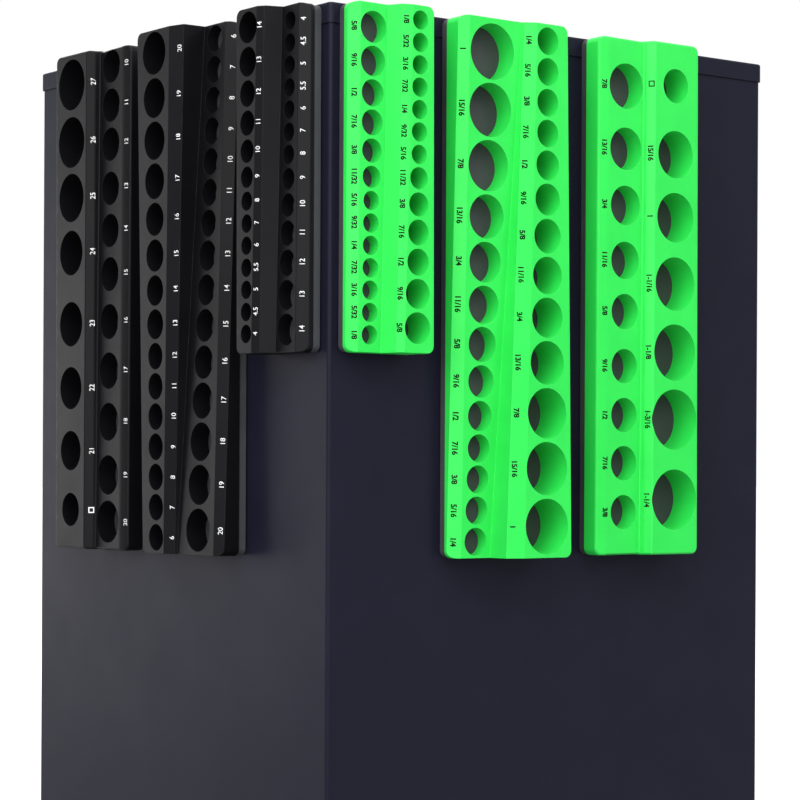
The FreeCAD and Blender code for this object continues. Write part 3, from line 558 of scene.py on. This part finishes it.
class TrayPlan:
    """A tray's sizes in metres, in its own flat position."""

    def __init__(self, system, design):
        self.system, self.design = system, design
        self.shape = TRAY_SHAPES[design]
        self.tray = "%s_tray_%s" % (system, design)
        low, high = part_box(self.tray)
        back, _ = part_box("%s_base_%s" % (system, design))
        self.length = high.z - low.z
        if system == "inch":
            self.width = high.x - low.x
            self.plate = low.y - back.y
            corner = Vector((high.x, back.y, high.z))
            axes = (Vector((0, 0, -1)), Vector((-1, 0, 0)), Vector((0, 1, 0)))
        else:
            self.width = high.y - low.y
            self.plate = low.x - back.x
            corner = Vector((back.x, high.y, low.z))
            axes = (Vector((0, 0, 1)), Vector((0, -1, 0)), Vector((1, 0, 0)))
        turn = Matrix(axes).transposed().to_4x4()
        self.hang = Matrix.Translation(corner) @ turn

    def between(self, ends, x):
        """A size at a place along the tray, from its values at the near and far end."""
        near, far = ends
        return (near + (far - near) * x / self.length) * MM

    def size(self, key, x):
        """A size of the tray's shape at a place along it."""
        return self.between(self.shape[key], x)

    def section(self, x):
        """The surface's corners across the tray, as pairs of place and height."""
        low, high = self.size("low", x), self.size("high", x)
        knee = self.size("step", x) + self.size("riser", x)
        return [(0.0, self.size("wall", x)), (self.size("facet", x), low),
                (self.size("step", x), low), (knee, self.size("knee", x)),
                (knee + self.size("ledge", x), high), (self.width, high)]

    def riser_span(self, x):
        """Where across the tray the riser starts and the ledge above it ends."""
        corners = self.section(x)
        return corners[2][0], corners[4][0]

    def height(self, x, y):
        """The surface's height off the wall."""
        corners = self.section(x)
        for (y0, z0), (y1, z1) in zip(corners, corners[1:]):
            if y <= y1:
                return z0 + (z1 - z0) * (y - y0) / (y1 - y0)
        return corners[-1][1]

    def flat_on(self, x, y):
        """The place and turn of something that lies flat on the surface."""
        spot = Vector((x, y, self.height(x, y)))
        along_it = Vector((MM, 0, self.height(x + MM / 2, y) - self.height(x - MM / 2, y)))
        across_it = Vector((0, MM, self.height(x, y + MM / 2) - self.height(x, y - MM / 2)))
        off_it = along_it.cross(across_it).normalized()
        along_it.normalize()
        turn = Matrix((along_it, off_it.cross(along_it), off_it)).transposed().to_4x4()
        return Matrix.Translation(spot + off_it * LIFT) @ turn

    def bores(self, row):
        """Each bore of a row: its place along and across, its radius and its mark."""
        margin, gaps, sockets = ROWS[self.system, self.design, row]
        x = margin * MM
        for index, (mark, bore) in enumerate(sockets):
            x += bore * MM / 2
            yield x, self.size(row + "_row", x), bore * MM / 2, mark
            x += bore * MM / 2 + gaps[min(index, len(gaps) - 1)] * MM


# %% [markdown]
# ## Socket trays: the moulding
#
# The moulding starts as a block. Its cross edges are cut into five, one for each strip of the
# section, and each strip's corners are moved to their height at both ends, which gives the two
# steps and their slant. The long edges are cut too, so that the strips, which twist a little from
# end to end, stay even. The upright corners are bevelled next, and then the folds of the top. The
# folds of the riser lie close together, so they get a smaller bevel weight than the outer ones.
# The bores are taken out last with cylinders, so that every bore stays round and gets its own fine
# rim.

# %% Model the mouldings
STRIPS = 5
LENGTH_CUTS = 15
# an edge that goes this far along a tray is a whole long edge, or one cut piece of it
WHOLE_RUN = 100 * MM
CUT_RUN = 10 * MM
CORNER_RADIUS = 5.0 * MM
CORNER_SEGMENTS = 6
FOLD_RADIUS = 1.8 * MM
FOLD_ANGLE = math.radians(9)
FOLD_SEGMENTS = 3
RISER_SHARE = 0.45
MARGIN = 1.0 * MM
RIM_RADIUS = 0.45 * MM
RIM_ANGLE = 48
BORE_SIDES = 56
CUTTER_LENGTH = 60 * MM


def run_length(edge):
    """How far an edge goes along the tray."""
    return abs(edge.verts[1].co.x - edge.verts[0].co.x)


def stepped_block(plan):
    """A block whose top follows the tray's section at both ends."""
    tallest = max(plan.size("high", 0.0), plan.size("high", plan.length))
    obj = block(plan.tray + "_moulding", (0, 0, plan.plate), (plan.length, plan.width, tallest))
    pick(obj, "EDGE", lambda edge: along(edge, 1))
    bpy.ops.mesh.subdivide(number_cuts=STRIPS - 1)
    for x in (0.0, plan.length):
        corners = plan.section(x)
        for index, (y, z) in enumerate(corners):
            start = plan.width * index / STRIPS
            for at_top in (False, True):
                level = tallest if at_top else plan.plate
                place = Vector((x, start, level))
                pick(obj, "VERT", lambda vert: (vert.co - place).length < CLOSE)
                rise = z - tallest if at_top else 0.0
                bpy.ops.transform.translate(value=(0, y - start, rise))
    pick(obj, "EDGE", lambda edge: run_length(edge) > WHOLE_RUN)
    bpy.ops.mesh.subdivide(number_cuts=LENGTH_CUTS)
    return obj


def round_outside(obj, plan):
    """Bevel the upright corners, then the folds and edges of the top."""
    pick(obj, "EDGE", lambda edge: along(edge, 2)
         and min(middle(edge).y, plan.width - middle(edge).y) < CLOSE)
    bpy.ops.mesh.bevel(offset=CORNER_RADIUS, segments=CORNER_SEGMENTS)

    def fold(edge):
        on_top = min(vert.co.z for vert in edge.verts) > plan.plate + MARGIN
        return on_top and edge.calc_face_angle(0.0) > FOLD_ANGLE

    def outer_fold(edge):
        spot = middle(edge)
        start, end = plan.riser_span(spot.x)
        of_riser = run_length(edge) > CUT_RUN and start - MARGIN < spot.y < end + MARGIN
        return fold(edge) and not of_riser

    pick(obj, "EDGE", fold)
    bpy.ops.transform.edge_bevelweight(value=RISER_SHARE)
    pick(obj, "EDGE", outer_fold)
    bpy.ops.transform.edge_bevelweight(value=1 - RISER_SHARE)
    bpy.ops.object.mode_set(mode="OBJECT")
    apply_modifier(obj, "BEVEL", width=FOLD_RADIUS, segments=FOLD_SEGMENTS,
                   limit_method="WEIGHT", miter_outer="MITER_ARC")


def cut_bores(obj, plan):
    """Take out every bore with a cylinder that goes right through the moulding."""
    cutters = []
    for row in ("front", "back"):
        for x, y, radius, _ in plan.bores(row):
            bpy.ops.object.select_all(action="DESELECT")
            bpy.ops.mesh.primitive_cylinder_add(
                vertices=BORE_SIDES, radius=radius, depth=CUTTER_LENGTH,
                location=(x, y, plan.plate - MARGIN + CUTTER_LENGTH / 2))
            cutters.append(bpy.context.object)
    select_only(*cutters)
    bpy.ops.object.join()
    cutter = bpy.context.object
    apply_modifier(obj, "BOOLEAN", operation="DIFFERENCE", object=cutter, solver="EXACT")
    bpy.data.objects.remove(cutter)


def make_moulding(plan, look, slot):
    """A finished tray moulding, hung on its wall."""
    obj = stepped_block(plan)
    round_outside(obj, plan)
    cut_bores(obj, plan)
    soften(obj, RIM_RADIUS, angle=RIM_ANGLE)
    obj.matrix_world = plan.hang
    apply_place(obj)
    dress(obj, look, plan.tray, slot, plan.tray)
    return obj


# %% [markdown]
# ## Socket trays: the marks
#
# Every bore has its socket size printed beside it, square on to the surface there. A mark is a text
# object made into a mesh, as thin as ink. The bore for a drive adapter has a small square instead.
# All the marks of one tray are joined into one piece, which lies a hair above the moulding.

# %% Print the marks
MARK_HEIGHT = {"quarter": 3.6 * MM, "three_eighth": 3.8 * MM, "half": 3.8 * MM}
INK = 0.02 * MM
# shares of a mark's height: how much its lines are swollen, the font size that gives the height,
# and the side and line of the small square
MARK_WEIGHT = {"inch": 0.045, "metric": 0.01}
FONT_SIZE = 1.36
SQUARE_SIDE = 1.1
SQUARE_LINE = 0.2
MARK_SPACING = 0.96
CURVE_STEPS = 3


def print_mark(plan, mark, x, y):
    """One printed mark, centred on a place of the tray's surface."""
    tall = MARK_HEIGHT[plan.design]
    bpy.ops.object.select_all(action="DESELECT")
    if mark == SQUARE:
        bpy.ops.mesh.primitive_plane_add(size=tall * SQUARE_SIDE)
        obj = bpy.context.object
        bpy.ops.object.mode_set(mode="EDIT")
        bpy.ops.mesh.select_all(action="SELECT")
        bpy.ops.mesh.inset(thickness=tall * SQUARE_LINE)
        bpy.ops.mesh.delete(type="FACE")
        bpy.ops.object.mode_set(mode="OBJECT")
    else:
        bpy.ops.object.text_add()
        obj = bpy.context.object
        obj.data.body = mark
        obj.data.size = tall * FONT_SIZE
        obj.data.align_x = "CENTER"
        obj.data.resolution_u = CURVE_STEPS
        obj.data.offset = tall * MARK_WEIGHT[plan.system]
        obj.data.space_character = MARK_SPACING
        bpy.ops.object.convert(target="MESH")
        obj = bpy.context.object
        rise = max(vert.co.y for vert in obj.data.vertices) / 2
        obj.location.y = -rise
        apply_place(obj)
    obj.matrix_world = plan.flat_on(x, y)
    apply_place(obj)
    return obj


def print_marks(plan, ink, slot):
    """All the marks of one tray as one piece."""
    marks = []
    places = MARK_PLACES[plan.system, plan.design]
    for row in ("front", "back"):
        for x, _, _, mark in plan.bores(row):
            marks.append(print_mark(plan, mark, x, plan.between(places[row], x)))
    select_only(*marks)
    bpy.ops.object.join()
    obj = bpy.context.object
    obj.name = obj.data.name = plan.tray + "_marks"
    apply_modifier(obj, "SOLIDIFY", thickness=INK, offset=0)
    obj.matrix_world = plan.hang
    apply_place(obj)
    dress(obj, ink, plan.tray, slot)
    return obj


for system, look, ink, slot in (("inch", green_plastic, black_ink, "green_plastic"),
                                ("metric", black_plastic, white_ink, "black_plastic")):
    for design in TRAY_SHAPES:
        plan = TrayPlan(system, design)
        tray = make_moulding(plan, look, slot)
        marks = print_marks(plan, ink, slot)
        print(tray.name, len(tray.data.polygons), "faces;", marks.name, len(marks.data.polygons))

# %% [markdown]
# ## Floor, light and camera
#
# The cabinet stands on a plain pale floor under large soft lamps. The world is white to the camera
# and to reflections, and pale blue-grey as a light, so the background is white without more light
# on the steel. To the camera and to reflections the floor glows as well, more with distance, so it
# fades into the background.

# %% Lay the floor
FLOOR_SIZE = 60.0
FLOOR_GREY = 0.42
FLOOR_ROUGHNESS = 0.8
FLOOR_SPECULAR = 0.1
bpy.ops.object.select_all(action="DESELECT")
bpy.ops.mesh.primitive_plane_add(size=FLOOR_SIZE, location=(0, 0, 0))
floor = bpy.context.object
floor.name = "floor"
pale = bpy.data.materials.new("pale_floor")
pale.use_nodes = True
pale_tree = pale.node_tree
pale_shader = pale_tree.nodes["Principled BSDF"]
pale_shader.inputs["Base Color"].default_value = (FLOOR_GREY, FLOOR_GREY, FLOOR_GREY, 1)
pale_shader.inputs["Roughness"].default_value = FLOOR_ROUGHNESS
pale_shader.inputs["Specular IOR Level"].default_value = FLOOR_SPECULAR
seen = add_node(pale_tree, "ShaderNodeLightPath")
glow = add_node(pale_tree, "ShaderNodeEmission")
spot = add_node(pale_tree, "ShaderNodeTexCoord")
reach = add_node(pale_tree, "ShaderNodeVectorMath", operation="LENGTH")
fade = add_node(pale_tree, "ShaderNodeMapRange", From_Min=0.8, From_Max=3.0, To_Min=0.5,
                To_Max=1.0)
pale_tree.links.new(spot.outputs["Object"], reach.inputs[0])
pale_tree.links.new(reach.outputs["Value"], fade.inputs["Value"])
pale_tree.links.new(fade.outputs["Result"], glow.inputs["Strength"])
plain = add_node(pale_tree, "ShaderNodeAddShader")
switch = add_node(pale_tree, "ShaderNodeMixShader")
either = add_node(pale_tree, "ShaderNodeMath", operation="MAXIMUM")
pale_tree.links.new(seen.outputs["Is Camera Ray"], either.inputs[0])
pale_tree.links.new(seen.outputs["Is Glossy Ray"], either.inputs[1])
pale_tree.links.new(pale_shader.outputs["BSDF"], plain.inputs[0])
pale_tree.links.new(glow.outputs["Emission"], plain.inputs[1])
pale_tree.links.new(either.outputs["Value"], switch.inputs["Fac"])
pale_tree.links.new(pale_shader.outputs["BSDF"], switch.inputs[1])
pale_tree.links.new(plain.outputs["Shader"], switch.inputs[2])
pale_tree.links.new(switch.outputs["Shader"], pale_tree.nodes["Material Output"].inputs["Surface"])
floor.data.materials.append(pale)

# %% Light the scene
WORLD_STRENGTH = 0.29
CENTRE = Vector((0.0, 0.0, 0.35))
# each lamp: its place, the side of its square in metres and its power in watts
LAMPS = (("key_lamp", (2.0, 2.0, 2.0), 3.6, 196), ("right_lamp", (1.15, -1.95, 0.3), 1.2, 11),
         ("back_lamp", (-1.3, 2.3, 2.2), 1.4, 30), ("overhead_lamp", (0.1, -0.2, 2.8), 1.8, 42),
         ("front_lamp", (-1.2, -2.6, 1.4), 1.8, 50))
world = bpy.data.worlds.new("studio")
bpy.context.scene.world = world
world.use_nodes = True
world_tree = world.node_tree
soft_light = world_tree.nodes["Background"]
soft_light.inputs["Color"].default_value = (0.92, 0.94, 1.0, 1)
soft_light.inputs["Strength"].default_value = WORLD_STRENGTH
white = add_node(world_tree, "ShaderNodeBackground", Strength=1.0)
white.inputs["Color"].default_value = (1, 1, 1, 1)
rays = add_node(world_tree, "ShaderNodeLightPath")
wanted = add_node(world_tree, "ShaderNodeMath", operation="MAXIMUM")
choice = add_node(world_tree, "ShaderNodeMixShader")
world_tree.links.new(rays.outputs["Is Camera Ray"], wanted.inputs[0])
world_tree.links.new(rays.outputs["Is Glossy Ray"], wanted.inputs[1])
world_tree.links.new(wanted.outputs["Value"], choice.inputs["Fac"])
world_tree.links.new(soft_light.outputs["Background"], choice.inputs[1])
world_tree.links.new(white.outputs["Background"], choice.inputs[2])
world_tree.links.new(choice.outputs["Shader"], world_tree.nodes["World Output"].inputs["Surface"])


def soft_lamp(name, place, size, power):
    """A square soft lamp that faces the cabinet."""
    bpy.ops.object.select_all(action="DESELECT")
    bpy.ops.object.light_add(type="AREA", location=place)
    lamp = bpy.context.object
    lamp.name = name
    lamp.data.size = size
    lamp.data.energy = power
    lamp.rotation_euler = (CENTRE - Vector(place)).to_track_quat("-Z", "Y").to_euler()


for lamp_values in LAMPS:
    soft_lamp(*lamp_values)


# %% Place the camera
# The camera stands off the corner between the back panel and the right side panel. It isn't tilted
# up or down, and it rolls by a fraction of a degree.
CAMERA_PLACE = (1.0993, 1.4450, 0.3451)
HEADING = math.radians(142.59)
ROLL = math.radians(0.289)
SENSOR_WIDTH = 36.0
LENS = 109.58
SHIFT_UP = 0.08125
bpy.ops.object.camera_add(location=CAMERA_PLACE)
camera = bpy.context.object
camera.rotation_euler = (Matrix.Rotation(HEADING, 3, "Z") @ Matrix.Rotation(math.pi / 2, 3, "X")
                         @ Matrix.Rotation(ROLL, 3, "Z")).to_euler()
camera.data.sensor_width = SENSOR_WIDTH
camera.data.lens = LENS
camera.data.shift_y = SHIFT_UP
bpy.context.scene.camera = camera
bpy.context.scene.view_settings.view_transform = "Standard"
